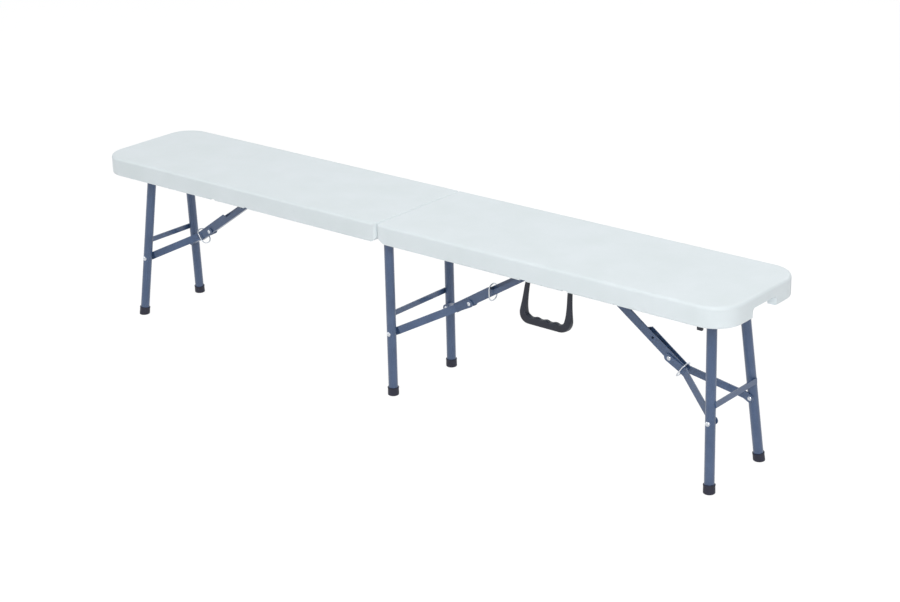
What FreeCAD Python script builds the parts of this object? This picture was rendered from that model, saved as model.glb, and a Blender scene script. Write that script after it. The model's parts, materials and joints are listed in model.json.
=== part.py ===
import FreeCAD, Part
import math
import os

# Folding bench: two moulded top halves hinged at the middle, three folding
# leg frames of steel tube, each held open by a wishbone, a channel link and
# a wire lock ring, and a carrying handle under the front edge.
#
# X runs along the bench with the middle hinge at X = 0, Y runs from the
# front edge to the back edge, Z is up, and Z = 0 is the floor.
# All sizes are in millimetres.

V = FreeCAD.Vector

# Top halves
LENGTH = 1830.0
WIDTH = 300.0
HEIGHT = 430.0
TOP_DEPTH = 46.0
HALF_GAP = 1.0
CORNER_RADIUS = 65.0
HINGE_CORNER_RADIUS = 9.0
TOP_EDGE_RADIUS = 7.0
SEAM_EDGE_RADIUS = 3.5
BOTTOM_EDGE_RADIUS = 4.0
RIM_WIDTH = 22.0
DECK_THICKNESS = 9.0
HINGE_WALL = 3.0
HINGE_CHAMFER_LENGTH = 24.0
HINGE_CHAMFER_HEIGHT = 14.0
HINGE_CORNER_BULGE = 4.5
LEG_NOTCH_GAP = 4.0
HAND_NOTCH_WIDTH = 92.0
HAND_NOTCH_HEIGHT = 22.0
HAND_NOTCH_RADIUS = 8.0
GROOVE_WIDTH = 48.0
GROOVE_DEPTH = 4.0
GROOVE_END_MARGIN = 30.0

# Leg frames
LEG_DIAMETER = 22.0
LEG_WALL = 1.2
PIVOT_TUBE_DIAMETER = 20.0
PIVOT_TUBE_WALL = 1.5
PIVOT_DROP = 18.0
FOOT_DIAMETER = 26.5
FOOT_HEIGHT = 19.5
FOOT_SOLE = 5.0
END_PIVOT_INSET = 88.0
END_LEAN = 30.0
END_TOP_SPREAD = WIDTH * 0.386
END_FOOT_SPREAD = WIDTH * 0.656
END_JOINT_HEIGHT = 151.0
END_BAR_HEIGHT = 190.0
END_TUBE_LENGTH = WIDTH * 0.68
END_SADDLE_SPREAD = WIDTH * 0.587
CENTRE_PIVOT_INSET = 18.0
CENTRE_LEAN = 19.0
CENTRE_BEND = 19.5
CENTRE_BEND_HEIGHT = 366.0
CENTRE_TOP_SPREAD = WIDTH * 0.7
CENTRE_FOOT_SPREAD = WIDTH * 0.708
CENTRE_JOINT_HEIGHT = 153.0
CENTRE_BAR_HEIGHT = 192.0
CENTRE_TUBE_LENGTH = WIDTH * 0.793
CENTRE_SADDLE_SPREAD = WIDTH * 0.5
BAR_HEIGHT = 13.0
BAR_THICKNESS = 3.0
BAR_SEAT = 0.6
BAR_OVERHANG = 0.5
END_FOLDED_DROP = 2.7
CENTRE_FOLDED_DROP = 2.0

# Braces
END_BRACE_PIVOT_X = 448.0
CENTRE_BRACE_PIVOT_X = 430.0
END_APEX_DROP = 15.0
CENTRE_APEX_DROP = 10.0
LINK_WIDTH = 13.0
LINK_SHEET = 1.6
LINK_END_RADIUS = 8.0
LINK_TAIL = 46.0
LINK_KNEE_LOW = 6.5
LINK_KNEE_HIGH = 15.5
LINK_LOW_WALL = 5.0
LINK_WIDE_HIGH = 15.5
LINK_WIDE_END = 74.0
LINK_TAPER_END = 82.0
LINK_HOLE_DISTANCE = 56.0
LINK_HOLE_RADIUS = 3.0
LINK_EMBOSS_START = 38.0
LINK_EMBOSS_LENGTH = 18.0
LINK_EMBOSS_HEIGHT = 9.0
LINK_EMBOSS_RISE = 0.2
ARM_HEIGHT = 18.0
ARM_END = 12.0
ARM_THICKNESS = 2.5
ARM_PARALLEL = 44.0
ARM_TAB = 13.0
ARM_LEG_GAP = 2.0
SIDE_GAP = 0.3
RIVET_RADIUS = 3.0
RIVET_HEAD_RADIUS = 4.9
RIVET_HEAD_HEIGHT = 2.0
RIVET_SEAT = 3.0
LEG_RIVET_HEAD_RADIUS = 5.5
LEG_RIVET_HEAD_HEIGHT = 2.6
RUN_GAP = 0.05
RING_WIRE = 3.0
RING_INNER_WIDTH = 26.0
RING_INNER_LOW = 17.0
RING_INNER_HIGH = 19.5
RING_CORNER = 13.0
RING_LOCKED_DISTANCE = 35.0
RING_STAGGER = 1.8
RING_PARKED_DISTANCE = 76.0

# Bearings and brackets under the top
SADDLE_WIDTH = 20.0
SADDLE_SHEET = 2.0
SADDLE_GAP = 0.3
SADDLE_FLANGE = 15.0
PAD_MARGIN = 3.0
BRACKET_SHEET = 2.0
BRACKET_MARGIN = 17.0
BRACKET_WIDTH = 62.0
BRACKET_EAR_GAP = 1.2
BRACKET_EAR_RADIUS = 8.0
BRACE_PIN_RADIUS = 3.0
BRACE_PIN_HEAD_RADIUS = 5.0
BRACE_PIN_HEAD = 2.0
SCREW_RADIUS = 2.0
SCREW_HEAD_RADIUS = 4.0
SCREW_HEAD_HEIGHT = 2.0
SCREW_REACH = 8.0

# Middle hinge
HINGE_SPREAD = WIDTH * 0.3
HINGE_LEAF_WIDTH = 30.0
HINGE_LEAF_LENGTH = 84.0
HINGE_LEAF_SHEET = 2.5
HINGE_KNUCKLE_RADIUS = 4.0
HINGE_PIN_RADIUS = 2.0
HINGE_PIN_HEAD = 1.5
HINGE_KNUCKLE_GAP = 0.3
HINGE_BOSS_START = 42.0
HINGE_SCREW_HEAD_HEIGHT = 1.2
HINGE_SCREW_FIRST = 52.0
HINGE_SCREW_SECOND = 74.0

# Carrying handle
HANDLE_CENTRE_X = 467.0
HANDLE_ARM_SPREAD = 110.0
HANDLE_ARM_WIDTH = 11.0
HANDLE_THICKNESS = 8.0
HANDLE_DROP = 95.0
HANDLE_HANG_ANGLE = 8.0
HANDLE_FLARE = 5.0
HANDLE_GRIP_HEIGHT = 18.0
HANDLE_GRIP_THICKNESS = 16.0
HANDLE_OUTER_RADIUS = 22.0
HANDLE_INNER_RADIUS = 9.0
HANDLE_FINGERS = 4
HANDLE_FINGER_DEPTH = 2.0
HANDLE_FINGER_RADIUS = 26.0
HANDLE_EYE_RADIUS = 6.0
HANDLE_EYE_INSET = 15.0
HANDLE_EYE_RISE = 7.0
HANDLE_CRANK = 8.0
HANDLE_CRANK_DROP = 8.0
HANDLE_PIN_RADIUS = 2.5
HANDLE_PIN_REACH = 9.0
HANDLE_POCKET_GAP = 2.0
HANDLE_NOTCH_GAP = 1.0
HANDLE_OUTER_WALL = 7.0

# Closing hook near the right end of the front rim
HOOK_INSET_X = 64.0
HOOK_INSET_Y = 10.0
HOOK_LENGTH = 12.0
HOOK_THICKNESS = 5.0
HOOK_REACH = 9.0
HOOK_ROOT = 8.0
HOOK_BARB = 1.5
HOOK_SLOT_GAP = 2.0

# Levels that everything else is set from
RIM_Z = HEIGHT - TOP_DEPTH
CEILING_Z = HEIGHT - DECK_THICKNESS
HINGE_Z = RIM_Z - HALF_GAP
PIVOT_Z = CEILING_Z - PIVOT_DROP
LEG_R = LEG_DIAMETER / 2
PIVOT_TUBE_R = PIVOT_TUBE_DIAMETER / 2
FOOT_R = FOOT_DIAMETER / 2
PAD_Z = PIVOT_Z + PIVOT_TUBE_R + SADDLE_GAP
SADDLE_FLANGE_X = PIVOT_TUBE_R + SADDLE_GAP + SADDLE_SHEET
SADDLE_SCREW_X = SADDLE_FLANGE_X + SADDLE_FLANGE / 2
ARM_INNER = LINK_WIDTH / 2 + SIDE_GAP
ARM_OUTER = ARM_INNER + ARM_THICKNESS
HANDLE_EYE_Y = -WIDTH / 2 + HANDLE_EYE_INSET
HANDLE_EYE_Z = RIM_Z + HANDLE_EYE_RISE
HANDLE_Y = HANDLE_EYE_Y + HANDLE_CRANK


def box(x0, x1, y0, y1, z0, z1):
    return Part.makeBox(x1 - x0, y1 - y0, z1 - z0, V(x0, y0, z0))


def rod(start, end, radius):
    """Round bar; the seam line of an upright one faces along X, clear of crosswise rivets."""
    axis = end.sub(start)
    bar = Part.makeCylinder(radius, axis.Length)
    bar.Placement = FreeCAD.Placement(start, FreeCAD.Rotation(V(0, 0, 1), axis))
    return bar


def pipe(start, end, radius, wall):
    return rod(start, end, radius).cut(rod(start, end, radius - wall))


def plate(points, y0, y1):
    """Flat plate whose outline lies in the XZ plane, from y0 to y1."""
    corners = [V(x, y0, z) for x, z in points]
    face = Part.Face(Part.makePolygon(corners + [corners[0]]))
    return face.extrude(V(0, y1 - y0, 0))


def plan_face(x0, x1, y0, y1, near_radius, far_radius, z):
    """Rounded rectangle; near_radius is at x0 and far_radius at x1."""
    half = math.sqrt(0.5)
    rows = [
        (x1, y0, -1, 1, far_radius),
        (x1, y1, -1, -1, far_radius),
        (x0, y1, 1, -1, near_radius),
        (x0, y0, 1, 1, near_radius),
    ]
    edges = []
    ends = []
    for x, y, sx, sy, r in rows:
        centre = V(x + sx * r, y + sy * r, z)
        on_x_side = V(x, y + sy * r, z)
        on_y_side = V(x + sx * r, y, z)
        middle = V(centre.x - sx * r * half, centre.y - sy * r * half, z)
        first, last = (on_y_side, on_x_side) if sx * sy < 0 else (on_x_side, on_y_side)
        edges.append(Part.Arc(first, middle, last).toShape())
        ends.append((first, last))
    for i in range(4):
        edges.append(Part.makeLine(ends[i][1], ends[(i + 1) % 4][0]))
    return Part.Face(Part.Wire(Part.__sortEdges__(edges)))


def mirrored(shape):
    """The same shape on the other half of the bench."""
    return shape.mirror(V(0, 0, 0), V(1, 0, 0))


def fused(shapes):
    whole = shapes[0]
    for shape in shapes[1:]:
        whole = whole.fuse(shape)
    return whole.removeSplitter()


def group(shapes):
    return Part.makeCompound(shapes)


class LegFrame:
    """Sizes and joints of one folding leg frame.

    The frame is worked out in its own side view: U runs from the leg pivot
    towards the brace pivot, which is the way the legs fold, and Z is up.
    """

    def __init__(self, name, pivot_x, turned, brace_x, bend, lean, top_spread, foot_spread,
                 joint_height, bar_height, tube_length, saddle_spread, apex_drop,
                 folded_drop, ring_distance):
        self.name = name
        self.pivot_x = pivot_x
        self.turned = turned
        self.bend = bend
        self.lean = lean
        self.top_half = top_spread / 2
        self.foot_half = foot_spread / 2
        self.joint_height = joint_height
        self.bar_height = bar_height
        self.tube_length = tube_length
        self.saddle_spread = saddle_spread
        self.ring_distance = ring_distance
        self.brace_u = abs(brace_x - pivot_x)
        one_sided = abs(pivot_x) < SADDLE_FLANGE_X + SADDLE_FLANGE
        self.saddle_ways = (1,) if one_sided else (-1, 1)
        self.solve_brace(apex_drop, folded_drop)

    def leg_point(self, side, z):
        share = (PIVOT_Z - z) / PIVOT_Z
        spread = self.top_half + (self.foot_half - self.top_half) * share
        offset = self.lean * share
        if self.bend:
            bend_offset, bend_z = self.bend
            if z > bend_z:
                offset = bend_offset * (PIVOT_Z - z) / (PIVOT_Z - bend_z)
            else:
                offset = self.lean + (bend_offset - self.lean) * z / bend_z
        return V(-offset, side * spread, z)

    def solve_brace(self, apex_drop, folded_drop):
        """Finds the apex so that wishbone and link are in line when folded."""
        joint = self.leg_point(1, self.joint_height)
        pivot = V(0, 0, PIVOT_Z)
        self.joint = V(joint.x, 0, joint.z)
        self.brace_pivot = V(self.brace_u, 0, PIVOT_Z)
        reach = self.joint.sub(pivot).Length
        leg_length = math.hypot(self.lean, PIVOT_Z)
        self.leg_fold = 90 + math.degrees(math.atan2(self.lean, PIVOT_Z)
                                          - math.asin(folded_drop / leg_length))
        swing = math.radians(self.leg_fold) - math.atan2(-joint.x, PIVOT_Z - joint.z)
        folded = V(reach * math.sin(swing), 0, PIVOT_Z - reach * math.cos(swing))
        folded_span = self.brace_pivot.sub(folded).Length
        span_line = self.brace_pivot.sub(self.joint)
        span = span_line.Length
        along = V(span_line).normalize()
        down = V(along.z, 0, -along.x)
        low = 0.0
        high = span
        for _ in range(60):
            share = (low + high) / 2
            link = math.hypot(span - share, apex_drop)
            arm = math.hypot(share, apex_drop)
            if link - arm > folded_span:
                low = share
            else:
                high = share
        self.apex = self.joint.add(V(along).multiply(share)).add(V(down).multiply(apex_drop))
        self.arm_length = self.apex.sub(self.joint).Length
        self.link_length = self.brace_pivot.sub(self.apex).Length
        self.arm_angle = math.degrees(math.atan2(self.joint.z - self.apex.z,
                                                 self.joint.x - self.apex.x))
        self.link_angle = math.degrees(math.atan2(self.brace_pivot.z - self.apex.z,
                                                  self.brace_pivot.x - self.apex.x))
        folded_arm = math.degrees(math.atan2(folded.z - self.brace_pivot.z,
                                             folded.x - self.brace_pivot.x)) + 180
        self.folded_link_angle = folded_arm

    def place(self, shape):
        """Moves a shape from the frame's own side view to its place."""
        moved = shape.copy()
        if self.turned:
            moved.rotate(V(0, 0, 0), V(0, 0, 1), 180)
        moved.translate(V(self.pivot_x, 0, 0))
        return moved

    def side_name(self, side):
        front = side > 0 if self.turned else side < 0
        return "front" if front else "rear"


def leg_outline(frame, side, radius):
    """Round bar along a leg's axis, from inside the foot to above the pivot."""
    bottom = frame.leg_point(side, FOOT_SOLE)
    top = frame.leg_point(side, PIVOT_Z + LEG_DIAMETER)
    if not frame.bend:
        return rod(bottom, top, radius)
    knee = frame.leg_point(side, frame.bend[1])
    return fused([rod(bottom, knee, radius), Part.makeSphere(radius, knee), rod(knee, top, radius)])


def leg(frame, side):
    tube = leg_outline(frame, side, LEG_R).cut(leg_outline(frame, side, LEG_R - LEG_WALL))
    above = box(-FOOT_DIAMETER * 2, FOOT_DIAMETER * 2, -WIDTH, WIDTH, PIVOT_Z, HEIGHT)
    crosswise = rod(V(0, -WIDTH, PIVOT_Z), V(0, WIDTH, PIVOT_Z), PIVOT_TUBE_R)
    at = frame.joint
    rivet = rod(V(at.x, -WIDTH, at.z), V(at.x, WIDTH, at.z), RIVET_RADIUS)
    pieces = tube.cut(above).cut(crosswise).cut(rivet).Solids
    return max(pieces, key=lambda piece: piece.Volume)


def foot(frame, side):
    low = frame.leg_point(side, -FOOT_HEIGHT)
    high = frame.leg_point(side, FOOT_HEIGHT)
    cap = rod(low, high, FOOT_R).common(box(-LENGTH, LENGTH, -WIDTH, WIDTH, 0, HEIGHT))
    return cap.cut(leg_outline(frame, side, LEG_R))


def pivot_tube(frame):
    reach = frame.tube_length / 2
    return pipe(V(0, -reach, PIVOT_Z), V(0, reach, PIVOT_Z), PIVOT_TUBE_R, PIVOT_TUBE_WALL)


def cross_bar(frame):
    """Flat bar on the legs' outer side, seated round both tubes."""
    at = frame.leg_point(1, frame.bar_height)
    reach = at.y + BAR_OVERHANG
    face = -LEG_R + BAR_SEAT
    bar = box(face - BAR_THICKNESS, face, -reach, reach, -BAR_HEIGHT / 2, BAR_HEIGHT / 2)
    below = frame.leg_point(1, frame.bar_height - BAR_HEIGHT)
    bar.rotate(V(0, 0, 0), V(0, 1, 0), math.degrees(math.atan2(at.x - below.x, BAR_HEIGHT)))
    bar.translate(V(at.x, 0, at.z))
    for side in (-1, 1):
        bar = bar.cut(leg_outline(frame, side, LEG_R))
    return bar


def dome_head(centre, outward, radius, height):
    """Low domed rivet head that stands on centre and points outward."""
    ball = (radius ** 2 + height ** 2) / (2 * height)
    middle = centre.add(V(outward).multiply(height - ball))
    cut = rod(centre, centre.add(V(outward).multiply(height * 2)), radius)
    return Part.makeSphere(ball, middle).common(cut)


def arm_tab_face(frame):
    """Distance of the wishbone tab's outer face from the mid plane."""
    return frame.leg_point(1, frame.joint_height).y - LEG_R - ARM_LEG_GAP


def leg_rivets(frame):
    """Rivets through the legs, which the wishbone's tabs turn on."""
    pieces = []
    inner_face = arm_tab_face(frame) - ARM_THICKNESS - RUN_GAP
    slope = (frame.foot_half - frame.top_half) / PIVOT_Z
    stand_off = LEG_R * math.hypot(1, slope) + LEG_RIVET_HEAD_RADIUS * slope
    for side in (-1, 1):
        at = frame.leg_point(side, frame.joint_height)
        inner = V(at.x, side * inner_face, at.z)
        outer = V(at.x, side * (abs(at.y) + stand_off), at.z)
        seat = V(at.x, side * (abs(at.y) + LEG_R - RIVET_SEAT), at.z)
        above = frame.leg_point(side, frame.joint_height * 2)
        tube = rod(frame.leg_point(side, 0), above, LEG_R)
        collar = rod(seat, outer, LEG_RIVET_HEAD_RADIUS).cut(tube)
        dome = dome_head(outer, V(0, side, 0), LEG_RIVET_HEAD_RADIUS, LEG_RIVET_HEAD_HEIGHT)
        inner_head = dome_head(inner, V(0, -side, 0), RIVET_HEAD_RADIUS, RIVET_HEAD_HEIGHT)
        pieces.append(fused([rod(inner, outer, RIVET_RADIUS), collar, dome, inner_head]))
    return group(pieces)


def along_brace(frame, shape, angle):
    """Turns a shape drawn along +X so that it leaves the apex at angle."""
    shape.rotate(V(0, 0, 0), V(0, -1, 0), angle)
    shape.translate(frame.apex)
    return shape


def arm(frame, side):
    """Flat bar: straight beside the link, fanned out, straight at the leg."""
    tab = arm_tab_face(frame)
    end = ARM_HEIGHT / 2
    length = frame.arm_length
    outer = [
        (-ARM_END, ARM_OUTER),
        (ARM_PARALLEL, ARM_OUTER),
        (length - ARM_TAB, tab),
        (length + end, tab),
    ]
    inner = [
        (length + end, tab - ARM_THICKNESS),
        (length - ARM_TAB + 1, tab - ARM_THICKNESS),
        (ARM_PARALLEL + 1, ARM_INNER),
        (-ARM_END, ARM_INNER),
    ]
    points = [V(x, side * y, -end) for x, y in outer + inner]
    strip = Part.Face(Part.makePolygon(points + [points[0]])).extrude(V(0, 0, ARM_HEIGHT))
    tip = end - ARM_END
    outline = fused([
        box(tip, length, -WIDTH, WIDTH, -end, end),
        rod(V(tip, -WIDTH, 0), V(tip, WIDTH, 0), end),
        rod(V(length, -WIDTH, 0), V(length, WIDTH, 0), end),
    ])
    strip = strip.common(outline)
    strip = strip.cut(rod(V(0, -WIDTH, 0), V(0, WIDTH, 0), RIVET_RADIUS))
    strip = strip.cut(rod(V(length, -WIDTH, 0), V(length, WIDTH, 0), RIVET_RADIUS + RUN_GAP))
    return along_brace(frame, strip, frame.arm_angle)


def apex_heads(frame):
    """Outer ends of the apex rivet, which stay with the wishbone."""
    pieces = []
    for side in (-1, 1):
        face = V(0, side * ARM_OUTER, 0)
        stub = rod(V(0, side * ARM_INNER, 0), face, RIVET_RADIUS)
        head = dome_head(face, V(0, side, 0), RIVET_HEAD_RADIUS, RIVET_HEAD_HEIGHT)
        pieces.append(along_brace(frame, stub.fuse(head).removeSplitter(), 0))
    return group(pieces)


def brace_link(frame):
    """Channel that is open upwards, one wall low and then widened at the knee."""
    length = frame.link_length
    half = LINK_WIDTH / 2
    low_end = (length, -LINK_END_RADIUS)
    low_knee = (-LINK_TAIL, -LINK_KNEE_LOW)
    drop = (LINK_END_RADIUS - LINK_KNEE_LOW) / (length + LINK_TAIL)
    web_x = length - LINK_END_RADIUS
    web_z = -LINK_END_RADIUS + drop * LINK_END_RADIUS
    low_wall = plate([
        low_knee,
        low_end,
        (length, LINK_LOW_WALL),
        (LINK_TAPER_END, LINK_LOW_WALL),
        (LINK_WIDE_END, LINK_WIDE_HIGH),
        (-LINK_TAIL, LINK_WIDE_HIGH),
    ], -half, -half + LINK_SHEET)
    high_wall = plate([
        low_knee,
        low_end,
        (length, LINK_END_RADIUS),
        (-LINK_TAIL, LINK_KNEE_HIGH),
    ], half - LINK_SHEET, half)
    web = plate([
        low_knee,
        (web_x, web_z),
        (web_x, web_z + LINK_SHEET),
        (-LINK_TAIL, -LINK_KNEE_LOW + LINK_SHEET),
    ], -half, half)
    eye = rod(V(length, -half, 0), V(length, half, 0), LINK_END_RADIUS)
    eye = eye.cut(box(0, length * 2, -half + LINK_SHEET, half - LINK_SHEET, -WIDTH, WIDTH))
    emboss = box(LINK_EMBOSS_START, LINK_EMBOSS_START + LINK_EMBOSS_LENGTH,
                 -half - LINK_EMBOSS_RISE, -half,
                 -LINK_EMBOSS_HEIGHT / 2, LINK_EMBOSS_HEIGHT / 2)
    channel = fused([low_wall, high_wall, web, eye, emboss])
    channel = channel.cut(rod(V(0, -WIDTH, 0), V(0, WIDTH, 0), RIVET_RADIUS))
    pin_hole = BRACE_PIN_RADIUS + RUN_GAP
    channel = channel.cut(rod(V(length, -WIDTH, 0), V(length, WIDTH, 0), pin_hole))
    hole_x = LINK_HOLE_DISTANCE
    hole_z = (LINK_KNEE_HIGH - LINK_KNEE_LOW) / 2
    channel = channel.cut(rod(V(hole_x, 0, hole_z), V(hole_x, WIDTH, hole_z), LINK_HOLE_RADIUS))
    return along_brace(frame, channel, frame.link_angle)


def apex_pin(frame):
    """Middle of the apex rivet, inside the link."""
    half = LINK_WIDTH / 2
    return along_brace(frame, rod(V(0, -half, 0), V(0, half, 0), RIVET_RADIUS), 0)


def lock_ring(frame):
    """Closed wire loop round the brace, square to it where it locks."""
    half = (RING_INNER_WIDTH + RING_WIRE) / 2
    low = -RING_INNER_LOW - RING_WIRE / 2
    high = RING_INNER_HIGH + RING_WIRE / 2
    lay = plan_face(low, high, -half, half, RING_CORNER, RING_CORNER, 0).OuterWire
    lay.rotate(V(0, 0, 0), V(0, 1, 0), -90)
    start = V(0, half, (low + high) / 2)
    profile = Part.Wire([Part.makeCircle(RING_WIRE / 2, start, V(0, 0, 1))])
    loop = lay.makePipeShell([profile], True, False)
    if frame.ring_distance > 0:
        loop.rotate(V(0, 0, 0), V(0, 1, 0), frame.link_angle)
    loop.translate(V(frame.ring_distance, 0, 0))
    return along_brace(frame, loop, frame.link_angle)


def saddle_span(frame, one_side, two_side):
    """Reach of a saddle piece on either side of the pivot tube."""
    return (-two_side if -1 in frame.saddle_ways else -one_side), two_side


def saddle(frame, y):
    """Strap that carries the pivot tube and is screwed to a moulded pad."""
    bore = PIVOT_TUBE_R + SADDLE_GAP
    outer = SADDLE_FLANGE_X
    y0 = y - SADDLE_WIDTH / 2
    y1 = y + SADDLE_WIDTH / 2
    x0, x1 = saddle_span(frame, outer, outer + SADDLE_FLANGE)
    strap = fused([
        rod(V(0, y0, PIVOT_Z), V(0, y1, PIVOT_Z), outer),
        box(-outer, outer, y0, y1, PIVOT_Z, PAD_Z),
        box(x0, x1, y0, y1, PAD_Z - SADDLE_SHEET, PAD_Z),
    ])
    strap = strap.common(box(x0, x1, y0, y1, RIM_Z, PAD_Z))
    inside = fused([
        rod(V(0, y0, PIVOT_Z), V(0, y1, PIVOT_Z), bore),
        box(-bore, bore, y0, y1, PIVOT_Z, PAD_Z),
    ])
    strap = strap.cut(inside)
    for way in frame.saddle_ways:
        x = way * SADDLE_SCREW_X
        strap = strap.cut(rod(V(x, y, RIM_Z), V(x, y, HEIGHT), SCREW_RADIUS))
    return strap


def saddles(frame):
    reach = frame.saddle_spread / 2
    return group([saddle(frame, -reach), saddle(frame, reach)])


def saddle_pads(frame):
    """Moulded pads that close the saddles from above."""
    half = SADDLE_WIDTH / 2 + PAD_MARGIN
    one_side = SADDLE_FLANGE_X + PAD_MARGIN
    x0, x1 = saddle_span(frame, one_side, one_side + SADDLE_FLANGE)
    places = (-frame.saddle_spread / 2, frame.saddle_spread / 2)
    return [box(x0, x1, y - half, y + half, PAD_Z, CEILING_Z + 1) for y in places]


def screw(x, y, seat_z, head_height):
    """Pan head screw that holds a sheet seated at seat_z from below."""
    head_z = seat_z - head_height
    head = rod(V(x, y, head_z), V(x, y, seat_z), SCREW_HEAD_RADIUS)
    shank = rod(V(x, y, seat_z), V(x, y, seat_z + SCREW_REACH), SCREW_RADIUS)
    return head.fuse(shank).removeSplitter()


def saddle_screws(frame):
    seat = PAD_Z - SADDLE_SHEET
    y = frame.saddle_spread / 2
    return [frame.place(screw(way * SADDLE_SCREW_X, side * y, seat, SCREW_HEAD_HEIGHT))
            for side in (-1, 1) for way in frame.saddle_ways]


def bracket_span(frames):
    """Ends of the brace bracket that carries these frames' links."""
    places = [frame.place(Part.Vertex(frame.brace_pivot)).Point.x for frame in frames]
    return min(places) - BRACKET_MARGIN, max(places) + BRACKET_MARGIN, places


def bracket_screw_places(frames):
    x0, x1, places = bracket_span(frames)
    y = BRACKET_WIDTH / 2 - SCREW_HEAD_RADIUS - 2
    inset = SCREW_HEAD_RADIUS + 2
    return [(x, side * y) for x in (x0 + inset, x1 - inset) for side in (-1, 1)]


def brace_bracket(frames):
    """Plate under the deck with two ears for each brace pin."""
    x0, x1, places = bracket_span(frames)
    reach = BRACKET_WIDTH / 2
    inner = LINK_WIDTH / 2 + BRACKET_EAR_GAP
    bracket = box(x0, x1, -reach, reach, CEILING_Z - BRACKET_SHEET, CEILING_Z)
    for x in places:
        for side in (-1, 1):
            y0 = min(side * inner, side * (inner + BRACKET_SHEET))
            y1 = max(side * inner, side * (inner + BRACKET_SHEET))
            ear = rod(V(x, y0, PIVOT_Z), V(x, y1, PIVOT_Z), BRACKET_EAR_RADIUS)
            stem = box(x - BRACKET_EAR_RADIUS, x + BRACKET_EAR_RADIUS, y0, y1, PIVOT_Z,
                       CEILING_Z - BRACKET_SHEET)
            bracket = bracket.fuse(ear).fuse(stem)
    for x in places:
        bracket = bracket.cut(rod(V(x, -reach, PIVOT_Z), V(x, reach, PIVOT_Z), BRACE_PIN_RADIUS))
    for x, y in bracket_screw_places(frames):
        bracket = bracket.cut(rod(V(x, y, RIM_Z), V(x, y, HEIGHT), SCREW_RADIUS))
    return bracket.removeSplitter()


def brace_pins(frames):
    x0, x1, places = bracket_span(frames)
    reach = LINK_WIDTH / 2 + BRACKET_EAR_GAP + BRACKET_SHEET
    pins = []
    for x in places:
        pin = rod(V(x, -reach, PIVOT_Z), V(x, reach, PIVOT_Z), BRACE_PIN_RADIUS)
        for side in (-1, 1):
            face = V(x, side * reach, PIVOT_Z)
            tip = V(x, side * (reach + BRACE_PIN_HEAD), PIVOT_Z)
            pin = pin.fuse(rod(face, tip, BRACE_PIN_HEAD_RADIUS))
        pins.append(pin.removeSplitter())
    return group(pins)


def bracket_screws(frames):
    seat = CEILING_Z - BRACKET_SHEET
    return [screw(x, y, seat, SCREW_HEAD_HEIGHT) for x, y in bracket_screw_places(frames)]


def hinge_places():
    return (-HINGE_SPREAD / 2, HINGE_SPREAD / 2)


def hinge_leaf(y, x_end, knuckles):
    """Strap leaf from the hinge pin to x_end with its own knuckles."""
    top = HINGE_Z + HINGE_KNUCKLE_RADIUS
    y0 = y - HINGE_LEAF_WIDTH / 2
    y1 = y + HINGE_LEAF_WIDTH / 2
    clear = HINGE_KNUCKLE_RADIUS + HINGE_KNUCKLE_GAP
    near = clear if x_end > 0 else -clear
    strap = box(min(near, x_end), max(near, x_end), y0, y1, top - HINGE_LEAF_SHEET, top)
    pieces = [strap]
    for k0, k1 in knuckles:
        barrel = rod(V(0, y0 + k0, HINGE_Z), V(0, y0 + k1, HINGE_Z), HINGE_KNUCKLE_RADIUS)
        tongue = box(min(0, near), max(0, near), y0 + k0, y0 + k1, top - HINGE_LEAF_SHEET, top)
        pieces += [barrel, tongue]
    leaf = fused(pieces)
    leaf = leaf.cut(rod(V(0, y0, HINGE_Z), V(0, y1, HINGE_Z), HINGE_PIN_RADIUS + RUN_GAP))
    way = 1 if x_end > 0 else -1
    for x in (HINGE_SCREW_FIRST, HINGE_SCREW_SECOND):
        leaf = leaf.cut(rod(V(way * x, y, 0), V(way * x, y, HEIGHT), SCREW_RADIUS))
    return leaf


def hinge_leaves(way):
    third = HINGE_LEAF_WIDTH / 3
    if way > 0:
        knuckles = [(0, third - HINGE_KNUCKLE_GAP),
                    (2 * third + HINGE_KNUCKLE_GAP, HINGE_LEAF_WIDTH)]
    else:
        knuckles = [(third, 2 * third)]
    return group([hinge_leaf(y, way * HINGE_LEAF_LENGTH, knuckles) for y in hinge_places()])


def hinge_pins():
    pins = []
    for y in hinge_places():
        half = HINGE_LEAF_WIDTH / 2
        pin = rod(V(0, y - half, HINGE_Z), V(0, y + half, HINGE_Z), HINGE_PIN_RADIUS)
        for side in (-1, 1):
            face = V(0, y + side * half, HINGE_Z)
            tip = V(0, y + side * (half + HINGE_PIN_HEAD), HINGE_Z)
            pin = pin.fuse(rod(face, tip, HINGE_KNUCKLE_RADIUS - HINGE_PIN_HEAD / 2))
        pins.append(pin.removeSplitter())
    return group(pins)


def hinge_screws(way):
    seat = HINGE_Z + HINGE_KNUCKLE_RADIUS - HINGE_LEAF_SHEET
    return [screw(way * x, y, seat, HINGE_SCREW_HEAD_HEIGHT) for y in hinge_places()
            for x in (HINGE_SCREW_FIRST, HINGE_SCREW_SECOND)]


def hinge_bosses():
    """Moulded blocks that the hinge leaves are screwed to."""
    z0 = HINGE_Z + HINGE_KNUCKLE_RADIUS
    half = HINGE_LEAF_WIDTH / 2
    return [box(HINGE_BOSS_START, HINGE_LEAF_LENGTH, y - half, y + half, z0, CEILING_Z + 1)
            for y in hinge_places()]


def handle_arm_places():
    half = HANDLE_ARM_SPREAD / 2
    return (HANDLE_CENTRE_X - half, HANDLE_CENTRE_X + half)


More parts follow.
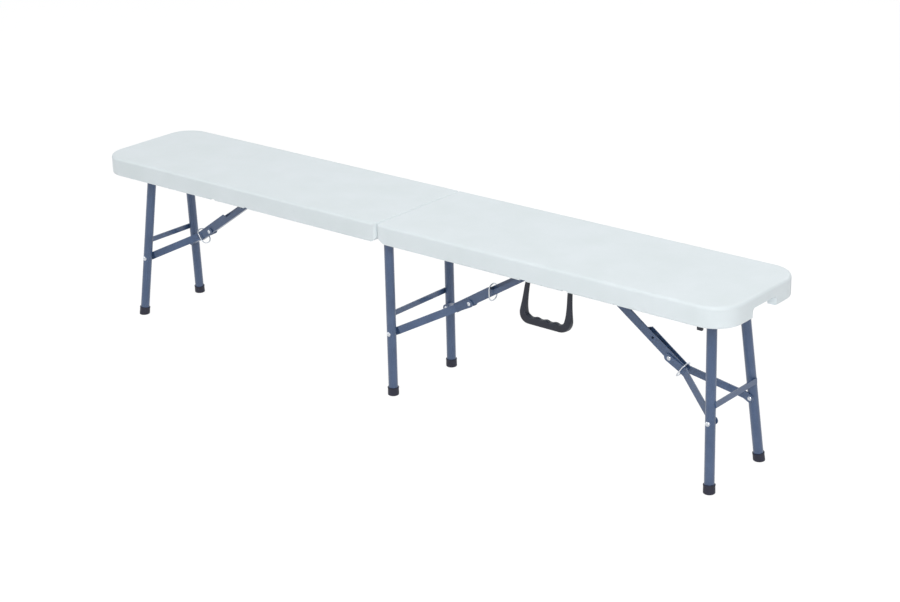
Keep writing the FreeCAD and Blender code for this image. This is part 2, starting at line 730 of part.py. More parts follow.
def handle_outline(outer, y0, y1):
    """Solid of the handle's outer or inner outline, seen from the front."""
    half_top = HANDLE_ARM_SPREAD / 2
    half_low = half_top + HANDLE_FLARE
    z_top = HANDLE_EYE_Z
    z_low = RIM_Z - HANDLE_DROP
    offset = HANDLE_ARM_WIDTH / 2 if outer else -HANDLE_ARM_WIDTH / 2
    radius = HANDLE_OUTER_RADIUS if outer else HANDLE_INNER_RADIUS
    floor = z_low if outer else z_low + HANDLE_GRIP_HEIGHT
    cx = HANDLE_CENTRE_X
    points = [
        (cx - half_top - offset, z_top),
        (cx - half_low - offset, floor),
        (cx + half_low + offset, floor),
        (cx + half_top + offset, z_top),
    ]
    block = plate(points, y0, y1)
    corners = [edge for edge in block.Edges
               if all(abs(p.Point.z - floor) < 0.01 for p in edge.Vertexes)
               and abs(edge.Vertexes[0].Point.x - edge.Vertexes[1].Point.x) < 0.01]
    return block.makeFillet(radius, corners)


def handle():
    """Drop handle: two cranked arms and a grip with finger hollows."""
    half = HANDLE_THICKNESS / 2
    grip_half = HANDLE_GRIP_THICKNESS / 2
    loop = handle_outline(True, HANDLE_Y - half, HANDLE_Y + half)
    window = handle_outline(False, HANDLE_Y - WIDTH, HANDLE_Y + WIDTH)
    grip_top = RIM_Z - HANDLE_DROP + HANDLE_GRIP_HEIGHT
    grip = handle_outline(True, HANDLE_Y - grip_half, HANDLE_Y + grip_half)
    grip = grip.common(box(0, LENGTH, -WIDTH, 0, 0, grip_top + HANDLE_INNER_RADIUS))
    pieces = [loop, grip]
    arm_half = HANDLE_ARM_WIDTH / 2
    for x in handle_arm_places():
        eye = rod(V(x - arm_half, HANDLE_EYE_Y, HANDLE_EYE_Z),
                  V(x + arm_half, HANDLE_EYE_Y, HANDLE_EYE_Z), HANDLE_EYE_RADIUS)
        neck_points = [
            V(x - arm_half, HANDLE_EYE_Y, HANDLE_EYE_Z),
            V(x - arm_half, HANDLE_EYE_Y, HANDLE_EYE_Z - HANDLE_EYE_RADIUS),
            V(x - arm_half, HANDLE_Y - half, HANDLE_EYE_Z - HANDLE_CRANK_DROP),
            V(x - arm_half, HANDLE_Y, HANDLE_EYE_Z - HANDLE_CRANK_DROP),
            V(x - arm_half, HANDLE_Y, HANDLE_EYE_Z),
        ]
        neck = Part.Face(Part.makePolygon(neck_points + [neck_points[0]]))
        pieces += [eye, neck.extrude(V(HANDLE_ARM_WIDTH, 0, 0))]
    whole = pieces[0]
    for piece in pieces[1:]:
        whole = whole.fuse(piece)
    whole = whole.cut(window)
    pitch = (HANDLE_ARM_SPREAD - HANDLE_ARM_WIDTH) / HANDLE_FINGERS
    for i in range(HANDLE_FINGERS):
        x = HANDLE_CENTRE_X + (i - (HANDLE_FINGERS - 1) / 2) * pitch
        z = grip_top - HANDLE_FINGER_DEPTH + HANDLE_FINGER_RADIUS
        whole = whole.cut(rod(V(x, -WIDTH, z), V(x, 0, z), HANDLE_FINGER_RADIUS))
    for x in handle_arm_places():
        bore = rod(V(x - WIDTH, HANDLE_EYE_Y, HANDLE_EYE_Z), V(x + WIDTH, HANDLE_EYE_Y, HANDLE_EYE_Z),
                   HANDLE_PIN_RADIUS + RUN_GAP)
        whole = whole.cut(bore)
    whole.rotate(V(0, HANDLE_EYE_Y, HANDLE_EYE_Z), V(-1, 0, 0), HANDLE_HANG_ANGLE)
    return whole.removeSplitter()


def handle_pins():
    reach = HANDLE_ARM_WIDTH / 2 + HANDLE_POCKET_GAP + HANDLE_PIN_REACH
    return group([rod(V(x - reach, HANDLE_EYE_Y, HANDLE_EYE_Z),
                      V(x + reach, HANDLE_EYE_Y, HANDLE_EYE_Z), HANDLE_PIN_RADIUS)
                  for x in handle_arm_places()])


def handle_cuts():
    """Pockets, notches and pin holes that the front rim has for the handle."""
    cuts = []
    pocket_half = HANDLE_ARM_WIDTH / 2 + HANDLE_POCKET_GAP
    wall_y = -WIDTH / 2 + HANDLE_OUTER_WALL
    pocket_top = HANDLE_EYE_Z + HANDLE_EYE_RADIUS + HANDLE_POCKET_GAP
    notch_top = RIM_Z + (HANDLE_THICKNESS / 2 - HALF_GAP) + HANDLE_NOTCH_GAP
    for x in handle_arm_places():
        cuts.append(box(x - pocket_half, x + pocket_half, wall_y, -WIDTH / 2 + RIM_WIDTH + 1,
                        RIM_Z - 1, pocket_top))
        cuts.append(box(x - pocket_half, x + pocket_half, -WIDTH / 2 - 1, wall_y + 1,
                        RIM_Z - 1, notch_top))
    return cuts


def hook_place():
    return LENGTH / 2 - HOOK_INSET_X, -WIDTH / 2 + HOOK_INSET_Y


def closing_hook():
    """Snap hook whose root sits in the right half's rim."""
    x, y = hook_place()
    x0 = x - HOOK_LENGTH / 2
    x1 = x + HOOK_LENGTH / 2
    y0 = y - HOOK_THICKNESS / 2
    tip = RIM_Z - HOOK_REACH
    body = box(x0, x1, y0, y0 + HOOK_THICKNESS, tip, RIM_Z + HOOK_ROOT)
    barb_points = [V(x0, y0 + HOOK_THICKNESS, tip),
                   V(x0, y0 + HOOK_THICKNESS + HOOK_BARB, tip + HOOK_BARB * 2),
                   V(x0, y0 + HOOK_THICKNESS, tip + HOOK_BARB * 3)]
    barb = Part.Face(Part.makePolygon(barb_points + [barb_points[0]])).extrude(V(x1 - x0, 0, 0))
    return body.fuse(barb).removeSplitter()


def hook_slot():
    """Slot in the left half's rim, drawn on the right side to be mirrored."""
    x, y = hook_place()
    gap = HOOK_SLOT_GAP
    half_x = HOOK_LENGTH / 2 + gap
    half_y = HOOK_THICKNESS / 2 + gap
    return box(x - half_x, x + half_x, y - half_y, y + half_y, RIM_Z - 1, RIM_Z + HOOK_REACH + gap)


def hinge_corner(rounded):
    """What the bottom of the hinge end loses: a chamfer or a rounded corner."""
    near = HALF_GAP - TOP_DEPTH
    low = RIM_Z - TOP_DEPTH
    start = V(HALF_GAP, -WIDTH, RIM_Z + HINGE_CHAMFER_HEIGHT)
    end = V(HALF_GAP + HINGE_CHAMFER_LENGTH, -WIDTH, RIM_Z)
    across = end.sub(start).normalize()
    middle = start.add(end).multiply(0.5).sub(V(-across.z, 0, across.x).multiply(HINGE_CORNER_BULGE))
    slope = Part.Arc(start, middle, end).toShape() if rounded else Part.makeLine(start, end)
    rest = Part.makePolygon([end, V(end.x, -WIDTH, low), V(near, -WIDTH, low),
                             V(near, -WIDTH, start.z), start])
    face = Part.Face(Part.Wire([slope] + rest.Edges))
    return face.extrude(V(0, WIDTH * 2, 0))


def leg_notches(frame):
    """Room in the hinge wall for legs that bend towards the seam."""
    half = LEG_R + LEG_NOTCH_GAP
    return [box(HALF_GAP - 1, HALF_GAP + HINGE_WALL + 1, side * frame.top_half - half,
                side * frame.top_half + half, RIM_Z, PIVOT_Z) for side in (-1, 1)]


def moulded_half(frames, brackets, rounded):
    """Right-hand moulding without its screw holes; the left is its mirror."""
    end = LENGTH / 2
    side = WIDTH / 2
    blank = plan_face(-TOP_DEPTH * 2, end, -side, side, CORNER_RADIUS, CORNER_RADIUS, RIM_Z)
    blank = blank.extrude(V(0, 0, TOP_DEPTH))
    top_edges = [e for e in blank.Edges if all(abs(v.Point.z - HEIGHT) < 0.01 for v in e.Vertexes)]
    blank = blank.makeFillet(TOP_EDGE_RADIUS, top_edges)
    low_edges = [e for e in blank.Edges if all(abs(v.Point.z - RIM_Z) < 0.01 for v in e.Vertexes)]
    blank = blank.makeFillet(BOTTOM_EDGE_RADIUS, low_edges)
    hinge_end = plan_face(HALF_GAP, end * 2, -side, side, HINGE_CORNER_RADIUS,
                          HINGE_CORNER_RADIUS, 0).extrude(V(0, 0, HEIGHT))
    seam = [e for e in hinge_end.Edges
            if all(abs(v.Point.z - HEIGHT) < 0.01 and v.Point.x < end for v in e.Vertexes)]
    seam = [e for e in seam if e.BoundBox.XMax < end]
    hinge_end = hinge_end.makeFillet(SEAM_EDGE_RADIUS, seam)
    blank = blank.common(hinge_end)
    blank = blank.cut(hinge_corner(rounded))
    recess = plan_face(HALF_GAP + HINGE_WALL, end - RIM_WIDTH, -side + RIM_WIDTH, side - RIM_WIDTH,
                       HINGE_WALL, CORNER_RADIUS - RIM_WIDTH, 0).extrude(V(0, 0, CEILING_Z))
    blank = blank.cut(recess)
    groove = box(HINGE_LEAF_LENGTH, end - RIM_WIDTH - GROOVE_END_MARGIN, -GROOVE_WIDTH / 2,
                 GROOVE_WIDTH / 2, CEILING_Z - 1, CEILING_Z + GROOVE_DEPTH)
    blank = blank.cut(groove)
    notch_half = HAND_NOTCH_WIDTH / 2
    notch = box(end - RIM_WIDTH * 2, end + 1, -notch_half, notch_half, RIM_Z - HAND_NOTCH_RADIUS * 2,
                RIM_Z + HAND_NOTCH_HEIGHT)
    notch_edges = [e for e in notch.Edges
                   if abs(e.Vertexes[0].Point.x - e.Vertexes[1].Point.x) > 1
                   and e.Vertexes[0].Point.z > RIM_Z]
    blank = blank.cut(notch.makeFillet(HAND_NOTCH_RADIUS, notch_edges))
    cuts = handle_cuts()
    for frame in frames:
        if frame.bend:
            cuts += leg_notches(frame)
    for cut in cuts:
        blank = blank.cut(cut)
    solids = hinge_bosses()
    for frame in frames:
        solids += [frame.place(pad) for pad in saddle_pads(frame)]
    x0, x1, places = bracket_span(brackets)
    reach = BRACKET_WIDTH / 2
    solids.append(box(x0, x1, -reach, reach, CEILING_Z, CEILING_Z + GROOVE_DEPTH + 1))
    for solid in solids:
        blank = blank.fuse(solid)
    return blank


def top_half(blank, screws, extra_cuts):
    half = blank
    for cut in list(screws) + list(extra_cuts):
        half = half.cut(cut)
    return half.removeSplitter()


def build():
    end_pivot = LENGTH / 2 - END_PIVOT_INSET
    end_sizes = (None, END_LEAN, END_TOP_SPREAD, END_FOOT_SPREAD, END_JOINT_HEIGHT,
                 END_BAR_HEIGHT, END_TUBE_LENGTH, END_SADDLE_SPREAD, END_APEX_DROP,
                 END_FOLDED_DROP)
    left = LegFrame("left", -end_pivot, False, -END_BRACE_PIVOT_X, *end_sizes,
                    RING_STAGGER - RING_LOCKED_DISTANCE)
    right = LegFrame("right", end_pivot, True, END_BRACE_PIVOT_X, *end_sizes,
                     -RING_STAGGER - RING_LOCKED_DISTANCE)
    centre = LegFrame("centre", CENTRE_PIVOT_INSET, False, CENTRE_BRACE_PIVOT_X,
                      (CENTRE_BEND, CENTRE_BEND_HEIGHT), CENTRE_LEAN, CENTRE_TOP_SPREAD,
                      CENTRE_FOOT_SPREAD, CENTRE_JOINT_HEIGHT, CENTRE_BAR_HEIGHT,
                      CENTRE_TUBE_LENGTH, CENTRE_SADDLE_SPREAD, CENTRE_APEX_DROP,
                      CENTRE_FOLDED_DROP, RING_PARKED_DISTANCE)
    nodes = {}
    for frame in (left, centre, right):
        for side in (-1, 1):
            word = frame.side_name(side)
            nodes[f"{frame.name}_{word}_leg"] = frame.place(leg(frame, side))
            nodes[f"{frame.name}_{word}_foot"] = frame.place(foot(frame, side))
            nodes[f"{frame.name}_{word}_arm"] = frame.place(arm(frame, side))
        nodes[f"{frame.name}_pivot_tube"] = frame.place(pivot_tube(frame))
        nodes[f"{frame.name}_cross_bar"] = frame.place(cross_bar(frame))
        nodes[f"{frame.name}_leg_rivets"] = frame.place(leg_rivets(frame))
        nodes[f"{frame.name}_apex_heads"] = frame.place(apex_heads(frame))
        nodes[f"{frame.name}_brace_link"] = frame.place(brace_link(frame))
        nodes[f"{frame.name}_apex_pin"] = frame.place(apex_pin(frame))
        nodes[f"{frame.name}_lock_ring"] = frame.place(lock_ring(frame))
        nodes[f"{frame.name}_saddles"] = frame.place(saddles(frame))

    right_frames = [centre, right]
    nodes["brace_bracket_left"] = brace_bracket([left])
    nodes["brace_bracket_right"] = brace_bracket(right_frames)
    nodes["brace_pins_left"] = brace_pins([left])
    nodes["brace_pins_right"] = brace_pins(right_frames)
    nodes["hinge_leaves_left"] = hinge_leaves(-1)
    nodes["hinge_leaves_right"] = hinge_leaves(1)
    nodes["hinge_pins"] = hinge_pins()
    nodes["handle"] = handle()
    nodes["handle_pins"] = handle_pins()
    nodes["closing_hook"] = closing_hook()

    screws_left = saddle_screws(left) + bracket_screws([left]) + hinge_screws(-1)
    screws_right = bracket_screws(right_frames) + hinge_screws(1)
    for frame in right_frames:
        screws_right += saddle_screws(frame)
    nodes["screws_left"] = group(screws_left)
    nodes["screws_right"] = group(screws_right)

    blank_right = moulded_half(right_frames, right_frames, False)
    blank_left = mirrored(moulded_half([right], [right], True))
    right_extra = [closing_hook(), handle_pins()]
    nodes["top_half_right"] = top_half(blank_right, screws_right, right_extra)
    nodes["top_half_left"] = top_half(blank_left, screws_left, [mirrored(hook_slot())])
    return nodes, (left, centre, right)


def main():
    nodes, frames = build()
    os.makedirs("parts", exist_ok=True)
    for name, shape in nodes.items():
        shape.exportStep(f"parts/{name}.step")
        print(f"{name:24s} solids {len(shape.Solids)} valid {shape.isValid()} "
              f"volume {shape.Volume / 1000:.2f} cm3")
    for f in frames:
        apex = f.place(Part.Vertex(f.apex)).Point
        joint = f.place(Part.Vertex(f.joint)).Point
        print(f"{f.name}: apex {apex.x:.2f} {apex.z:.2f}, joint {joint.x:.2f} {joint.z:.2f}, "
              f"arm {f.arm_length:.2f} at {f.arm_angle:.3f}, link {f.link_length:.2f} "
              f"at {f.link_angle:.3f}, legs fold {f.leg_fold:.3f}, "
              f"link folded at {f.folded_link_angle:.3f}")


main()
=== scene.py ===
# %% [markdown]
# # A fold-in-half bench
# The real object is a blow-moulded bench on three folding leg frames. The
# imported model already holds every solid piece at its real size, so it is
# loaded first and never moved. This lesson dresses it: finishes for the
# mouldings and the steel, and modelled pieces where the eye comes close.

# %% Load the frame
import json
import math

import bpy
from mathutils import Matrix, Vector


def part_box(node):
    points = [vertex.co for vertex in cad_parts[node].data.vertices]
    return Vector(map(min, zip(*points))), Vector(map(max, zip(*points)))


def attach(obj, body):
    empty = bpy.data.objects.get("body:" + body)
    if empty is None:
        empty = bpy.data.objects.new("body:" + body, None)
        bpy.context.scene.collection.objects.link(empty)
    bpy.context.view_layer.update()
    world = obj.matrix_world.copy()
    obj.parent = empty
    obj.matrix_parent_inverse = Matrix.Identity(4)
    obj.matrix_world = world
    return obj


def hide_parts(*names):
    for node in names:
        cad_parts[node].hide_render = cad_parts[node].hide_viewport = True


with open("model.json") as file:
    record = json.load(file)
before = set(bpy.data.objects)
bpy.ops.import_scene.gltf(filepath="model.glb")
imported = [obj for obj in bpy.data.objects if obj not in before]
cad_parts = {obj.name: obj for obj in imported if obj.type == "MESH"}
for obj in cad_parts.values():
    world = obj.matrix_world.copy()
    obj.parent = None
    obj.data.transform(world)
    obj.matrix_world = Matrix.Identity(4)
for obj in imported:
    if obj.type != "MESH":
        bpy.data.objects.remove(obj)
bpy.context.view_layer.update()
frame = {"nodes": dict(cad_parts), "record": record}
nodes = frame["nodes"]

# %% [markdown]
# ## Sizes shared by several cells
# A millimetre value keeps the numbers readable. Places come from the frame
# itself: a node's box tells where it starts and ends, so a dressed piece
# always sits on the part that carries it.

# %% Units and places
MM = 0.001
FRAMES = ("left", "centre", "right")
SIDES = ("front", "rear")


def box_of(node):
    """Lowest and highest corner of a node."""
    low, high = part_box(node)
    return Vector(low), Vector(high)


top_high = box_of("top_half_right")[1]
print("bench height", round(top_high.z, 4), "half length", round(top_high.x, 4))

# %% [markdown]
# ## Colours and nodes
# Colours are written as the hex values a painter would pick from the
# photograph. Shaders work in linear light, so one function converts them.
# A second small function adds any node, sets its values and links it.


# %% Helpers for materials
def colour(hex_value):
    """Turns an sRGB hex value into linear light."""
    parts = [int(hex_value[i:i + 2], 16) / 255 for i in (1, 3, 5)]
    linear = [p / 12.92 if p <= 0.04045 else ((p + 0.055) / 1.055) ** 2.4 for p in parts]
    return (*linear, 1.0)


def add_node(tree, kind, settings=None, inputs=None):
    """Adds a node; an input is a plain value or an output socket to link."""
    node = tree.nodes.new(kind)
    for name, value in (settings or {}).items():
        setattr(node, name, value)
    for name, value in (inputs or {}).items():
        if isinstance(value, bpy.types.NodeSocket):
            tree.links.new(value, node.inputs[name])
        else:
            node.inputs[name].default_value = value
    return node


def new_material(name):
    """An empty material with its shader, and the object's own coordinates."""
    material = bpy.data.materials.new(name)
    material.use_nodes = True
    tree = material.node_tree
    tree.nodes.clear()
    shader = add_node(tree, "ShaderNodeBsdfPrincipled")
    add_node(tree, "ShaderNodeOutputMaterial", inputs={"Surface": shader.outputs["BSDF"]})
    place = add_node(tree, "ShaderNodeTexCoord").outputs["Object"]
    return material, tree, shader, place


def grain(tree, place, size, **inputs):
    """Noise whose features are about size metres across."""
    values = {"Vector": place, "Scale": 1 / size, **inputs}
    return add_node(tree, "ShaderNodeTexNoise", inputs=values).outputs["Fac"]


def ramp(tree, factor, stops):
    """Colour ramp from (position, hex colour) stops."""
    node = add_node(tree, "ShaderNodeValToRGB", inputs={"Fac": factor})
    elements = node.color_ramp.elements
    while len(elements) < len(stops):
        elements.new(0.5)
    for element, (position, hex_value) in zip(elements, stops):
        element.position = position
        element.color = colour(hex_value)
    return node.outputs["Color"]


def spread(tree, factor, low, high):
    """Maps a 0 to 1 factor to the range from low to high."""
    values = {"Value": factor, "To Min": low, "To Max": high}
    return add_node(tree, "ShaderNodeMapRange", inputs=values).outputs["Result"]


def link(tree, output, socket):
    """Feeds a socket that was left open when its node was added."""
    tree.links.new(output, socket)


# %% [markdown]
# ## Blow-moulded polyethylene
# The tops are high-density polyethylene blown into a textured mould. The
# skin has a fine pebble grain about a millimetre across, a broad soft
# mottling where the wall cooled unevenly, and the satin gloss of a waxy
# plastic. The pebbles are drawn a little coarser than life so that they
# show. Handling leaves faint grey scuffs.


# %% Material of the tops
def blow_moulded_polyethylene():
    material, tree, shader, place = new_material("blow_moulded_polyethylene")
    mottle = grain(tree, place, 90 * MM, Detail=3.0, Roughness=0.55)
    base = ramp(tree, mottle, [(0.30, "#DDE6E8"), (0.70, "#E2EAED")])
    scuff_place = add_node(tree, "ShaderNodeMapping",
                           inputs={"Vector": place, "Scale": (0.25, 1.0, 1.0)}).outputs["Vector"]
    scuff = grain(tree, scuff_place, 14 * MM, Detail=6.0, Roughness=0.7)
    scuff_mask = spread(tree, ramp(tree, scuff, [(0.66, "#000000"), (0.78, "#FFFFFF")]), 0.0, 0.16)
    mixed = add_node(tree, "ShaderNodeMix", {"data_type": "RGBA"},
                     {"Factor": scuff_mask, "A": base, "B": colour("#AEB6BC")})
    link(tree, mixed.outputs["Result"], shader.inputs["Base Color"])
    pebbles = add_node(tree, "ShaderNodeTexVoronoi", {"feature": "SMOOTH_F1"},
                       {"Vector": place, "Scale": 1 / (2.2 * MM), "Smoothness": 0.6})
    fine = grain(tree, place, 0.8 * MM, Detail=2.0)
    height = add_node(tree, "ShaderNodeMix", {"data_type": "FLOAT"},
                      {"Factor": 0.35, "A": pebbles.outputs["Distance"], "B": fine})
    bump = add_node(tree, "ShaderNodeBump", inputs={
        "Strength": 0.22, "Distance": 0.25 * MM, "Height": height.outputs["Result"]})
    link(tree, bump.outputs["Normal"], shader.inputs["Normal"])
    link(tree, spread(tree, mottle, 0.36, 0.48), shader.inputs["Roughness"])
    shader.inputs["IOR"].default_value = 1.54
    return material


# %% [markdown]
# ## Powder-coated steel
# The frames are mild steel with a blue-grey powder coat. Baked powder has a
# faint orange peel with ripples of about two millimetres and a semi-gloss
# shine, a little lighter where it is worn along the tubes.


# %% Material of the leg frames
def powder_coated_steel():
    material, tree, shader, place = new_material("powder_coated_steel")
    cloud = grain(tree, place, 45 * MM, Detail=4.0, Roughness=0.6)
    base = ramp(tree, cloud, [(0.32, "#3C5274"), (0.68, "#485D7F")])
    specks = grain(tree, place, 1.6 * MM, Detail=2.0)
    speck_mask = spread(tree, ramp(tree, specks, [(0.62, "#000000"), (0.72, "#FFFFFF")]), 0.0, 0.35)
    mixed = add_node(tree, "ShaderNodeMix", {"data_type": "RGBA"},
                     {"Factor": speck_mask, "A": base, "B": colour("#6A809F")})
    link(tree, mixed.outputs["Result"], shader.inputs["Base Color"])
    peel = grain(tree, place, 2.0 * MM, Detail=1.5)
    bump = add_node(tree, "ShaderNodeBump", inputs={
        "Strength": 0.16, "Distance": 0.12 * MM, "Height": peel})
    link(tree, bump.outputs["Normal"], shader.inputs["Normal"])
    link(tree, spread(tree, cloud, 0.28, 0.4), shader.inputs["Roughness"])
    shader.inputs["IOR"].default_value = 1.5
    shader.inputs["Coat Weight"].default_value = 0.35
    shader.inputs["Coat Roughness"].default_value = 0.2
    return material


# %% [markdown]
# ## Bright zinc plate
# Rivets, lock rings, screws and the middle hinge are zinc-plated steel:
# a cool silver metal with slightly uneven gloss and fine draw marks.


# %% Material of the plated parts
def zinc_plated_steel():
    material, tree, shader, place = new_material("zinc_plated_steel")
    cloud = grain(tree, place, 6 * MM, Detail=4.0)
    base = ramp(tree, cloud, [(0.3, "#BFC4CB"), (0.7, "#D9DCE1")])
    link(tree, base, shader.inputs["Base Color"])
    link(tree, spread(tree, cloud, 0.2, 0.36), shader.inputs["Roughness"])
    marks = grain(tree, place, 0.7 * MM, Detail=2.0)
    bump = add_node(tree, "ShaderNodeBump", inputs={
        "Strength": 0.12, "Distance": 0.08 * MM, "Height": marks})
    link(tree, bump.outputs["Normal"], shader.inputs["Normal"])
    shader.inputs["Metallic"].default_value = 1.0
    return material


# %% [markdown]
# ## Black mouldings
# The feet are soft moulded vinyl, nearly black and dull, with dust caught
# in a fine grain. The handle and the hook are black polypropylene, which is
# harder and a little glossier, with a spark-eroded texture.


# %% Materials of the feet and the handle
def soft_vinyl():
    material, tree, shader, place = new_material("soft_vinyl")
    dust = grain(tree, place, 9 * MM, Detail=5.0, Roughness=0.65)
    base = ramp(tree, dust, [(0.4, "#101226"), (0.75, "#1E2138")])
    link(tree, base, shader.inputs["Base Color"])
    link(tree, spread(tree, dust, 0.5, 0.7), shader.inputs["Roughness"])
    skin = grain(tree, place, 0.9 * MM, Detail=2.0)
    bump = add_node(tree, "ShaderNodeBump", inputs={
        "Strength": 0.25, "Distance": 0.12 * MM, "Height": skin})
    link(tree, bump.outputs["Normal"], shader.inputs["Normal"])
    shader.inputs["IOR"].default_value = 1.53
    return material


def black_polypropylene():
    material, tree, shader, place = new_material("black_polypropylene")
    cloud = grain(tree, place, 20 * MM, Detail=3.0)
    base = ramp(tree, cloud, [(0.35, "#0C1220"), (0.7, "#151C2B")])
    link(tree, base, shader.inputs["Base Color"])
    link(tree, spread(tree, cloud, 0.34, 0.46), shader.inputs["Roughness"])
    spark = grain(tree, place, 1.1 * MM, Detail=3.0)
    bump = add_node(tree, "ShaderNodeBump", inputs={
        "Strength": 0.2, "Distance": 0.15 * MM, "Height": spark})
    link(tree, bump.outputs["Normal"], shader.inputs["Normal"])
    shader.inputs["IOR"].default_value = 1.49
    return material


# %% [markdown]
# ## Which part gets which finish
# The record names a material slot for each node, so the finishes are given
# by slot and the list stays short.

# %% Finish of every carried-over node
FINISHES = {
    "top": blow_moulded_polyethylene(),
    "leg_tube": powder_coated_steel(),
    "foot": soft_vinyl(),
    "black_plastic": black_polypropylene(),
    "ring_wire": zinc_plated_steel(),
}
FINISHES["brace"] = FINISHES["leg_tube"]
FINISHES["fastener"] = FINISHES["ring_wire"]
FINISHES["sheet_steel"] = FINISHES["ring_wire"]
SLOT_OF = {part["node"]: part["material_slot"] for part in frame["record"]["subparts"]}
for name, node in nodes.items():
    node.data.materials.clear()
    node.data.materials.append(FINISHES[SLOT_OF[name]])
print("finishes given to", len(SLOT_OF), "nodes")

# %% [markdown]
# ## Modelling by hand
# Every modelled piece starts as a primitive and is shaped with the tools a
# modeller uses: select, inset, extrude, bevel, cut. Those tools act on what
# is selected, so two helpers come first. One leaves a single piece selected,
# the other selects faces, edges or points by where they are.


# %% Helpers for modelling
def work_on(piece):
    """Leaves only this piece selected and active, in object mode."""
    if bpy.context.mode != "OBJECT":
        bpy.ops.object.mode_set(mode="OBJECT")
    bpy.ops.object.select_all(action="DESELECT")
    piece.select_set(True)
    bpy.context.view_layer.objects.active = piece


def started(name):
    """Names the primitive just added and brings its place into its mesh."""
    piece = bpy.context.object
    piece.name = name
    work_on(piece)
    bpy.ops.object.transform_apply(location=True, rotation=True, scale=True)
    return piece


def pick(piece, kind, wanted):
    """Selects the FACE, EDGE or VERT elements whose middle and direction pass a test."""
    mesh = piece.data
    bpy.ops.object.mode_set(mode="EDIT")
    bpy.ops.mesh.select_mode(type=kind)
    bpy.ops.mesh.select_all(action="DESELECT")
    bpy.ops.object.mode_set(mode="OBJECT")
    if kind == "FACE":
        for face in mesh.polygons:
            face.select = wanted(face.center, face.normal)
    elif kind == "EDGE":
        for edge in mesh.edges:
            first, last = (mesh.vertices[i].co for i in edge.vertices)
            edge.select = wanted((first + last) / 2, (last - first).normalized())
    else:
        for point in mesh.vertices:
            point.select = wanted(point.co, point.normal)
    bpy.ops.object.mode_set(mode="EDIT")


def pushed(x, y, z):
    """Extrudes the selection along a straight move."""
    bpy.ops.mesh.extrude_region_move(TRANSFORM_OT_translate={"value": (x, y, z)})


def cut_across(piece, place, normal, **options):
    """Cuts a whole piece with a plane."""
    bpy.ops.object.mode_set(mode="EDIT")
    bpy.ops.mesh.select_all(action="SELECT")
    bpy.ops.mesh.bisect(plane_co=place, plane_no=normal, **options)
    bpy.ops.object.mode_set(mode="OBJECT")


def with_modifier(piece, kind, **settings):
    """Adds a modifier and applies it at once."""
    work_on(piece)
    modifier = piece.modifiers.new(kind.lower(), kind)
    for name, value in settings.items():
        setattr(modifier, name, value)
    bpy.ops.object.modifier_apply(modifier=modifier.name)


def copied(piece, name, place):
    """A copy with its own mesh, moved by a matrix that ends up in the mesh."""
    copy = piece.copy()
    copy.data = piece.data.copy()
    copy.name = name
    bpy.context.scene.collection.objects.link(copy)
    copy.matrix_world = place
    work_on(copy)
    bpy.ops.object.transform_apply(location=True, rotation=True, scale=True)
    return copy


def joined(pieces, name):
    """Joins several pieces into the first one."""
    work_on(pieces[0])
    for piece in pieces:
        piece.select_set(True)
    bpy.ops.object.join()
    pieces[0].name = name
    return pieces[0]


def finished(piece, body, slot, smooth_below=35):
    """Shades a piece, gives it its finish and lets it ride on its body."""
    work_on(piece)
    bpy.ops.object.shade_smooth_by_angle(angle=math.radians(smooth_below))
    piece.data.materials.clear()
    piece.data.materials.append(FINISHES[slot])
    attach(piece, body)
    print(piece.name, len(piece.data.polygons), "faces, rides on", body)


# %% [markdown]
# ## Foot caps
# Each tube ends in a push-on vinyl cap: a short cup with a thin bead round
# its mouth, a slightly wider bottom, a rounded sole edge and a ring of tread.
# A round piece could be spun from a profile, but a tapered cylinder needs
# fewer steps: its top is inset and pushed down to make the cup. It is modelled
# once, standing upright. A copy is then leaned along each leg and trimmed at
# the floor, so every sole lies flat whatever the leg's lean.

# %% One upright cap
LEG_RADIUS = 11 * MM
CAP_RADIUS = 13.25 * MM
CAP_MOUTH_RADIUS = 12.7 * MM
CAP_HEIGHT = 19.5 * MM
CAP_SOLE = 5 * MM
CAP_SPARE = 7 * MM
CAP_TAPER_START = 7 * MM
BEAD_HEIGHT = 2.6 * MM
BEAD_STEP = 1 * MM
BEAD_BULGE = 0.55 * MM
NEAR = 0.1 * MM

bpy.ops.mesh.primitive_cone_add(
    vertices=64, radius1=CAP_RADIUS, radius2=CAP_MOUTH_RADIUS, depth=CAP_HEIGHT + CAP_SPARE,
    location=(0, 0, (CAP_HEIGHT - CAP_SPARE) / 2))
cap = started("foot_cap")
BEAD_LOW = CAP_HEIGHT - BEAD_HEIGHT
for level in (BEAD_LOW, BEAD_LOW - BEAD_STEP, CAP_TAPER_START):
    cut_across(cap, (0, 0, level), (0, 0, 1))
pick(cap, "FACE", lambda place, way: place.z > BEAD_LOW and way.z < 0.5)
bpy.ops.mesh.extrude_region_shrink_fatten(TRANSFORM_OT_shrink_fatten={"value": BEAD_BULGE})
pick(cap, "FACE", lambda place, way: place.z > CAP_HEIGHT - NEAR and way.z > 0.9)
bpy.ops.mesh.dissolve_faces()
pick(cap, "FACE", lambda place, way: place.z > CAP_HEIGHT - NEAR and way.z > 0.9)
mouth = max(point.co.xy.length for point in cap.data.vertices)
bpy.ops.mesh.inset(thickness=mouth - LEG_RADIUS)
pushed(0, 0, CAP_SOLE - CAP_HEIGHT)
pick(cap, "EDGE", lambda place, way: place.z > BEAD_LOW - NEAR
     and abs(way.z) < 0.2 and place.xy.length > LEG_RADIUS + 1 * MM)
bpy.ops.mesh.bevel(offset=0.5 * MM, segments=2)
work_on(cap)
print("cap mouth radius", round(mouth / MM, 2), "mm")

# %% [markdown]
# ### A cap on each leg
# The legs' axes are known from the frame's own sizes: where each one passes
# through the floor and where through the deck pivot. A matrix turns the
# cap's upright axis onto the leg.

